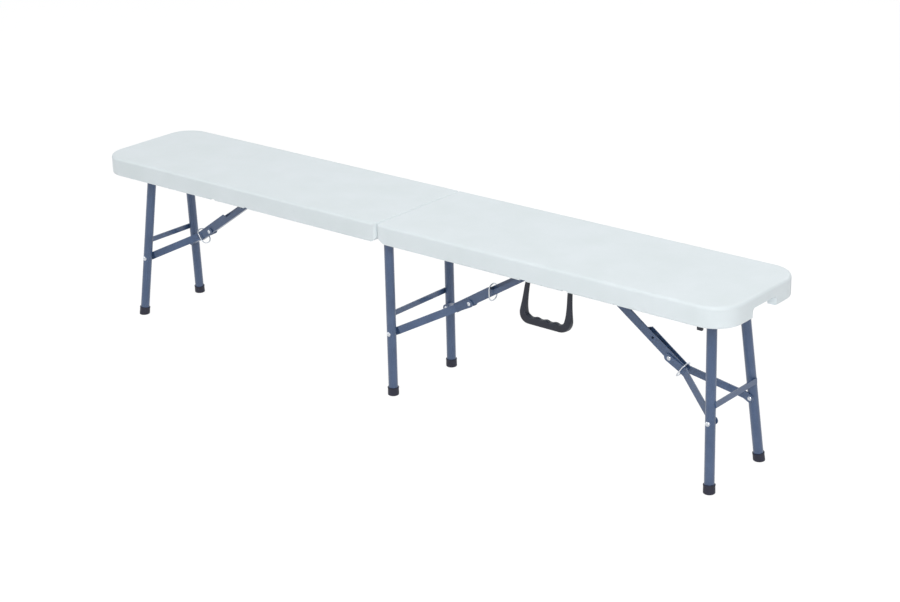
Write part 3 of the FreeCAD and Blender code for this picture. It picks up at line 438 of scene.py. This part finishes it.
# %% Legs' axes and the six caps
PIVOT_HEIGHT = 403 * MM
END_PIVOT, END_LEAN = 827 * MM, 30 * MM
CENTRE_PIVOT, CENTRE_BACK = 18 * MM, 19 * MM
CENTRE_KNEE, CENTRE_KNEE_HEIGHT = 19.5 * MM, 366 * MM
# Half the distance between front and rear leg, at the pivot and at the floor.
LEG_SPREADS = {"left": (57.9 * MM, 98.4 * MM), "right": (57.9 * MM, 98.4 * MM),
               "centre": (105.0 * MM, 106.2 * MM)}
SOLE_ROUNDING = 1.8 * MM
# Each tread step: how far in, and how far up into the sole.
TREAD = ((3 * MM, 1.2 * MM), (1.6 * MM, -1.2 * MM), (2.4 * MM, 1.2 * MM))


def leg_axis(name, side):
    """Floor point and upward direction of a leg."""
    top, foot = LEG_SPREADS[name]
    way = -1 if side == "front" else 1
    if name == "centre":
        share = (PIVOT_HEIGHT - CENTRE_KNEE_HEIGHT) / PIVOT_HEIGHT
        low = Vector((CENTRE_PIVOT - CENTRE_BACK, way * foot, 0))
        high = Vector((CENTRE_PIVOT - CENTRE_KNEE, way * (top + (foot - top) * share),
                       CENTRE_KNEE_HEIGHT))
    else:
        out = 1 if name == "right" else -1
        low = Vector((out * (END_PIVOT + END_LEAN), way * foot, 0))
        high = Vector((out * END_PIVOT, way * top, PIVOT_HEIGHT))
    return low, (high - low).normalized()


def leaned(place, upward):
    """Matrix that takes the upright Z axis to a leg's axis."""
    turn = Vector((0, 0, 1)).rotation_difference(upward)
    return Matrix.Translation(place) @ turn.to_matrix().to_4x4()


for name in FRAMES:
    for side in SIDES:
        low, upward = leg_axis(name, side)
        foot = copied(cap, f"{name}_{side}_cap", leaned(low, upward))
        cut_across(foot, (0, 0, 0), (0, 0, 1), clear_inner=True, use_fill=True)
        pick(foot, "EDGE", lambda place, way: place.z < 0.01 * MM)
        bpy.ops.mesh.bevel(offset=SOLE_ROUNDING, segments=4)
        pick(foot, "FACE", lambda place, way: place.z < 0.01 * MM and way.z < -0.9)
        for width, depth in TREAD:
            bpy.ops.mesh.inset(thickness=width)
            pushed(0, 0, depth)
        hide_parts(f"{name}_{side}_foot")
        finished(foot, f"{name}_legs", "foot")
bpy.data.objects.remove(cap)

# %% [markdown]
# ## Carrying handle
# The handle is one injection moulding: two slim arms that widen into rounded
# corners, and a thick grip with finger hollows on its inner side. It hangs
# from two pins behind the front rim. A flat strip drawn round the outline is
# the easiest start, because each step only needs a move, a turn and a width.
# Half of it is drawn from the middle of the grip to an arm's eye, mirrored,
# given its thickness, thickened at the grip, and rounded. Just before the eye
# the arm is cranked back, so that it clears the rim when it swings out.

# %% Half of the handle's outline
EYE = Vector((467 * MM, -135 * MM, 391 * MM))
HANG_ANGLE = math.radians(8)
GRIP_THICKNESS = 16 * MM
ARM_THICKNESS = 8 * MM
CRANK = 8 * MM
# Each station: place across and down from the eyes, depth behind them, the
# strip's width, all in millimetres, and its turn in degrees.
STATIONS = [
    (6.0, -93.7, 8, 16.6, 0), (12.4, -94.5, 8, 15.0, 0), (18.6, -93.7, 8, 16.6, 0),
    (24.8, -92.8, 8, 18.4, 0), (31.0, -93.7, 8, 16.6, 0), (37.1, -94.5, 8, 15.0, 0),
    (44.5, -93.0, 8, 18.0, 6), (50.2, -91.0, 8, 18.4, 24), (55.2, -87.2, 8, 18.0, 46),
    (58.2, -81.6, 8, 16.8, 68), (59.3, -74.5, 8, 15.2, 84), (58.9, -62.0, 8, 13.6, 88),
    (57.6, -42.0, 8, 12.4, 88), (56.4, -24.0, 8, 11.6, 88), (55.6, -14.0, 8.4, 11.0, 89),
    (55.4, -8.4, 8.4, 10.8, 90), (55.2, -5.4, 6.0, 10.8, 90), (55.0, 0.0, 1.5, 10.4, 90),
]
START_DOWN, START_WIDTH = -92.8, 18.4

bpy.ops.mesh.primitive_plane_add(size=START_WIDTH * MM, rotation=(math.radians(90), 0, 0),
                                 location=(START_WIDTH / 2 * MM, CRANK, START_DOWN * MM))
handle = started("handle_piece")
pick(handle, "VERT", lambda place, way: place.x > 0.1 * MM)
bpy.ops.mesh.delete(type="VERT")
pick(handle, "VERT", lambda place, way: True)
bpy.ops.mesh.select_mode(type="EDGE")
before = (0.0, START_DOWN, CRANK / MM, START_WIDTH, 0.0)
for station in STATIONS:
    across, down, back, width, turn = station
    middle = Vector((across, back, down)) * MM
    pushed((across - before[0]) * MM, (back - before[2]) * MM, (down - before[1]) * MM)
    bpy.ops.transform.rotate(value=math.radians(turn - before[4]), orient_axis="Y",
                             orient_type="GLOBAL", center_override=middle)
    bpy.ops.transform.resize(value=[width / before[3]] * 3, center_override=middle)
    before = station
work_on(handle)
print("handle strip", [round(size / MM, 1) for size in handle.dimensions])

# %% [markdown]
# ### Thickness, rounding and eyes
# Solidify turns the strip into a moulding as thick as the arms. The grip is
# then stretched to its full thickness, and the shoulders to somewhere
# between the two. A bevel keeps the edges in place
# and a subdivision surface rounds them, as a mould maker's radii do. The
# eyes are short tubes that the pins pass through.

# %% The whole handle
GRIP_LEVEL, SHOULDER_LEVEL = -70 * MM, -50 * MM
SHOULDER_GROWTH = 1.35
EYE_REACH = 55 * MM
EYE_RADIUS, EYE_LENGTH, EYE_WALL = 6 * MM, 11 * MM, 3.4 * MM

with_modifier(handle, "MIRROR", merge_threshold=0.01 * MM)
with_modifier(handle, "SOLIDIFY", thickness=ARM_THICKNESS, offset=0)
pick(handle, "VERT", lambda place, way: place.z < GRIP_LEVEL)
bpy.ops.transform.resize(value=(1, GRIP_THICKNESS / ARM_THICKNESS, 1),
                         center_override=(0, CRANK, 0))
pick(handle, "VERT", lambda place, way: GRIP_LEVEL < place.z < SHOULDER_LEVEL)
bpy.ops.transform.resize(value=(1, SHOULDER_GROWTH, 1), center_override=(0, CRANK, 0))
work_on(handle)
with_modifier(handle, "BEVEL", width=2.6 * MM, segments=2, limit_method="ANGLE",
              angle_limit=math.radians(50))
with_modifier(handle, "SUBSURF", levels=2, render_levels=2)
eyes = []
for way in (-1, 1):
    bpy.ops.mesh.primitive_cylinder_add(
        vertices=32, radius=EYE_RADIUS, depth=EYE_LENGTH, end_fill_type="NOTHING",
        rotation=(0, math.radians(90), 0), location=(way * EYE_REACH, 0, 0))
    eye = started("handle_eye")
    with_modifier(eye, "SOLIDIFY", thickness=EYE_WALL, offset=-1)
    with_modifier(eye, "BEVEL", width=0.5 * MM, segments=2, limit_method="ANGLE")
    eyes.append(eye)
handle = joined([handle] + eyes, "handle_piece")
handle.matrix_world = Matrix.Translation(EYE) @ Matrix.Rotation(-HANG_ANGLE, 4, "X")
bpy.ops.object.transform_apply(location=True, rotation=True, scale=True)
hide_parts("handle")
finished(handle, "handle", "black_plastic")
print("handle is", [round(size / MM, 1) for size in handle.dimensions], "mm")

# %% [markdown]
# ## End plugs of the pivot tubes
# The tubes that the legs turn on are closed with pressed-in plastic plugs, so
# that no cut edge shows. A plug is a shallow lid with a rounded edge, a dish
# in its face, and a skirt that fills the bore.

# %% Plugs
PLUG_RADIUS = 9.7 * MM
PLUG_LID = 2.2 * MM
BORE_RADIUS = 8.4 * MM
SKIRT_LENGTH = 7 * MM
LID_ROUNDING = 1.1 * MM
DISH_MARGIN, DISH_DEPTH = 2.6 * MM, 0.9 * MM

bpy.ops.mesh.primitive_cylinder_add(vertices=48, radius=PLUG_RADIUS, depth=PLUG_LID,
                                    location=(0, 0, PLUG_LID / 2))
plug = started("tube_plug")
pick(plug, "FACE", lambda place, way: way.z < -0.9)
bpy.ops.mesh.inset(thickness=PLUG_RADIUS - BORE_RADIUS)
pushed(0, 0, -SKIRT_LENGTH)
pick(plug, "EDGE", lambda place, way: place.z > PLUG_LID - 0.01 * MM)
bpy.ops.mesh.bevel(offset=LID_ROUNDING, segments=4)
pick(plug, "FACE", lambda place, way: way.z > 0.99)
bpy.ops.mesh.inset(thickness=DISH_MARGIN)
pushed(0, 0, -DISH_DEPTH)
bpy.ops.transform.resize(value=(0.8, 0.8, 1))
work_on(plug)
for name in FRAMES:
    low, high = box_of(f"{name}_pivot_tube")
    middle = (low + high) / 2
    for side, end in zip(SIDES, (low.y, high.y)):
        outward = Vector((0, -1 if side == "front" else 1, 0))
        place = leaned(Vector((middle.x, end, middle.z)), outward)
        end_plug = copied(plug, f"{name}_{side}_plug", place)
        finished(end_plug, f"{name}_legs", "black_plastic")
bpy.data.objects.remove(plug)

# %% [markdown]
# ## Screws
# Bearings, brackets and hinge leaves are held by pan head screws with a
# cross recess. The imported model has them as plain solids, so their places
# are read from it: a merged copy of each node is taken apart into loose
# pieces and measured. One screw of each head height is modelled, its recess
# cut by two crossed bars, and copied to every place.


# %% Places of the screws
def loose_boxes(node):
    """Lowest and highest corners of every separate solid in a node."""
    copy = nodes[node].copy()
    copy.data = nodes[node].data.copy()
    copy.parent = None
    bpy.context.scene.collection.objects.link(copy)
    work_on(copy)
    bpy.ops.object.mode_set(mode="EDIT")
    bpy.ops.mesh.select_all(action="SELECT")
    bpy.ops.mesh.remove_doubles(threshold=0.01 * MM)
    bpy.ops.mesh.separate(type="LOOSE")
    bpy.ops.object.mode_set(mode="OBJECT")
    boxes = []
    for part in list(bpy.context.selected_objects):
        places = [point.co for point in part.data.vertices]
        boxes.append((Vector([min(p[i] for p in places) for i in range(3)]),
                      Vector([max(p[i] for p in places) for i in range(3)])))
        bpy.data.objects.remove(part)
    return boxes


screw_boxes = {side: loose_boxes(f"screws_{side}") for side in ("left", "right")}
print({side: len(boxes) for side, boxes in screw_boxes.items()}, "screws")

# %% Screws with a cross recess
HEAD_RADIUS = 4 * MM
SHANK_RADIUS = 2 * MM
SHANK_LENGTH = 8 * MM
POINT_LENGTH = 1.5 * MM
HEAD_HEIGHTS = (2.0, 1.2)
RECESS_LENGTH, RECESS_WIDTH = 4.6 * MM, 0.95 * MM


def cross_screw(head_height):
    """Upside-down pan head screw; its head's face is at the origin."""
    bpy.ops.mesh.primitive_cylinder_add(vertices=32, radius=HEAD_RADIUS, depth=head_height,
                                        location=(0, 0, head_height / 2))
    screw = started("screw")
    pick(screw, "FACE", lambda place, way: way.z > 0.9)
    bpy.ops.mesh.inset(thickness=HEAD_RADIUS - SHANK_RADIUS)
    pushed(0, 0, SHANK_LENGTH - POINT_LENGTH)
    pushed(0, 0, POINT_LENGTH)
    bpy.ops.transform.resize(value=(0.4, 0.4, 1))
    pick(screw, "EDGE", lambda place, way: place.z < 0.01 * MM)
    bpy.ops.mesh.bevel(offset=0.55 * head_height, segments=4)
    work_on(screw)
    for turn in (0, 90):
        bpy.ops.mesh.primitive_cube_add(size=1, scale=(RECESS_LENGTH, RECESS_WIDTH, head_height),
                                        rotation=(0, 0, math.radians(turn)))
        bar = started("recess_bar")
        with_modifier(screw, "BOOLEAN", operation="DIFFERENCE", object=bar)
        bpy.data.objects.remove(bar)
    return screw


heads = {height: cross_screw(height * MM) for height in HEAD_HEIGHTS}
for side, boxes in screw_boxes.items():
    copies = []
    for low, high in boxes:
        height = min(heads, key=lambda h: abs(h * MM + SHANK_LENGTH - (high.z - low.z)))
        place = Vector(((low.x + high.x) / 2, (low.y + high.y) / 2, low.z))
        # No two screws stop at the same turn, so it is taken from the place.
        turn = Matrix.Rotation(place.x * 40 + place.y * 25, 4, "Z")
        copies.append(copied(heads[height], "screw", Matrix.Translation(place) @ turn))
    screws = joined(copies, f"cross_screws_{side}")
    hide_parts(f"screws_{side}")
    finished(screws, f"{side}_half", "fastener")
for screw in heads.values():
    bpy.data.objects.remove(screw)

# %% [markdown]
# ## Ribs under the decks
# A blown deck is a thin double skin, and its lower skin is folded into
# shallow ribs that keep it from bowing. They run across the deck between the
# rim and the groove that takes the folded braces, and stay shallow enough for
# the folded legs to pass. One rib is a bar with moulding draft, narrower at
# its crest, with rounded edges.

# %% Ribs
RIB_FIRST, RIB_LAST, RIB_PITCH = 120 * MM, 780 * MM, 60 * MM
RIB_INNER, RIB_OUTER = 33 * MM, 128.4 * MM
RIB_WIDTH, RIB_DEPTH = 13 * MM, 4.5 * MM
RIB_ROOT = 0.5 * MM
RIB_ROUNDING = 1.6 * MM
CEILING = 421 * MM

bpy.ops.mesh.primitive_cube_add(
    size=1, scale=(RIB_WIDTH, RIB_OUTER - RIB_INNER, RIB_DEPTH + RIB_ROOT),
    location=(0, (RIB_INNER + RIB_OUTER) / 2, CEILING - (RIB_DEPTH - RIB_ROOT) / 2))
rib = started("deck_rib")
pick(rib, "FACE", lambda place, way: way.z < -0.9)
bpy.ops.transform.resize(value=(0.5, 0.93, 1))
pick(rib, "EDGE", lambda place, way: place.z < CEILING - RIB_DEPTH + 0.6 * MM)
bpy.ops.mesh.bevel(offset=RIB_ROUNDING, segments=3)
work_on(rib)
rib_count = round((RIB_LAST - RIB_FIRST) / RIB_PITCH) + 1
for side, way in (("left", -1), ("right", 1)):
    copies = []
    for number in range(rib_count):
        x = way * (RIB_FIRST + number * RIB_PITCH)
        for turn in (0, 180):
            place = Matrix.Translation((x, 0, 0)) @ Matrix.Rotation(math.radians(turn), 4, "Z")
            copies.append(copied(rib, "deck_rib", place))
    finished(joined(copies, f"deck_ribs_{side}"), f"{side}_half", "top")
bpy.data.objects.remove(rib)

# %% [markdown]
# ## Camera
# The photograph was taken from the right front corner, a little above the
# seat, with a long lens. A camera fitted to the bench's corners gives its
# place, its three angles and its focal length.

# %% Camera
CAMERA_PLACE = Vector((2.8608, -3.3167, 1.8809))
CAMERA_YAW = math.radians(39.905)
CAMERA_PITCH = math.radians(21.024)
CAMERA_ROLL = math.radians(-1.265)
CAMERA_LENS = 80.75


def camera_turn(yaw, pitch, roll):
    """Turn of a camera that looks down by pitch after turning by yaw."""
    ahead = Vector((-math.sin(yaw) * math.cos(pitch), math.cos(yaw) * math.cos(pitch),
                    -math.sin(pitch)))
    right = ahead.cross(Vector((0, 0, 1))).normalized()
    up = right.cross(ahead)
    right_rolled = right * math.cos(roll) + up * math.sin(roll)
    up_rolled = up * math.cos(roll) - right * math.sin(roll)
    return Matrix((right_rolled, up_rolled, -ahead)).transposed().to_4x4()


lens = bpy.data.cameras.new("camera")
lens.sensor_width = 36
lens.lens = CAMERA_LENS
camera = bpy.data.objects.new("camera", lens)
camera.matrix_world = Matrix.Translation(CAMERA_PLACE) @ camera_turn(
    CAMERA_YAW, CAMERA_PITCH, CAMERA_ROLL)
bpy.context.scene.collection.objects.link(camera)
bpy.context.scene.camera = camera
bpy.context.scene.view_settings.view_transform = "Standard"
print("camera is", round((CAMERA_PLACE - Vector((0, 0, 0.43))).length, 2), "m from the seat")

# %% [markdown]
# ## Floor and light
# The photograph has a pure white ground. Turning the lamps up until the
# floor burns out would burn out the pale tops too. So the lamps stay at a
# plain level, and the floor adds white of its own only for what the camera
# and the reflections see. Part of it stays ordinary paper, which keeps the
# bench's shadow. The added white is a little over one, so that paper and
# white together still end at pure white.

# %% Studio
FLOOR_SIZE = 30.0
AIR_STRENGTH = 0.34
PAPER_SHARE = 0.13
PAPER_WHITE = 1.08
bpy.ops.object.select_all(action="DESELECT")
bpy.ops.mesh.primitive_plane_add(size=FLOOR_SIZE, location=(0, 0, 0))
floor = started("studio_floor")


def seen_directly(tree):
    """1 for camera, glossy and transmission rays, otherwise 0."""
    rays = add_node(tree, "ShaderNodeLightPath").outputs
    total = rays["Is Camera Ray"]
    for name in ("Is Glossy Ray", "Is Transmission Ray"):
        total = add_node(tree, "ShaderNodeMath", {"operation": "MAXIMUM"},
                         {0: total, 1: rays[name]}).outputs["Value"]
    return total


def studio_paper():
    material, tree, shader, place = new_material("studio_paper")
    cloud = grain(tree, place, 900 * MM, Detail=2.0)
    paper = ramp(tree, cloud, [(0.3, "#F4F4F5"), (0.7, "#F9F9F9")])
    link(tree, paper, shader.inputs["Base Color"])
    shader.inputs["Roughness"].default_value = 0.9
    white = add_node(tree, "ShaderNodeEmission", inputs={"Strength": PAPER_WHITE})
    share = spread(tree, seen_directly(tree), 0.0, 1 - PAPER_SHARE)
    mixed = add_node(tree, "ShaderNodeMixShader", inputs={"Fac": share, 1: shader.outputs["BSDF"],
                                                          2: white.outputs["Emission"]})
    link(tree, mixed.outputs["Shader"], tree.nodes["Material Output"].inputs["Surface"])
    return material


floor.data.materials.append(studio_paper())


def soft_lamp(name, place, target, size, power):
    """Square lamp that faces its target."""
    data = bpy.data.lights.new(name, "AREA")
    data.size = size
    data.energy = power
    lamp = bpy.data.objects.new(name, data)
    lamp.location = place
    lamp.rotation_euler = (Vector(target) - Vector(place)).to_track_quat("-Z", "Y").to_euler()
    bpy.context.scene.collection.objects.link(lamp)


# Each lamp: place, target, side in metres, power in watts.
LAMPS = {
    "key_lamp": ((3.0, -2.8, 2.7), (0.1, 0, 0.3), 1.8, 92),
    "overhead_lamp": ((0, 0.2, 3.9), (0, 0, 0.4), 2.6, 43),
    "side_lamp": ((-3.4, -2.4, 2.4), (0, 0, 0.3), 2.0, 30),
    "back_lamp": ((0.5, 3.2, 2.8), (0, 0, 0.3), 2.0, 16),
}
for name, settings in LAMPS.items():
    soft_lamp(name, *settings)
world = bpy.data.worlds.new("studio_air")
bpy.context.scene.world = world
world.use_nodes = True
air = world.node_tree
background = air.nodes["Background"]
background.inputs["Color"].default_value = colour("#FCFDFF")
link(air, spread(air, seen_directly(air), AIR_STRENGTH, 1.0), background.inputs["Strength"])
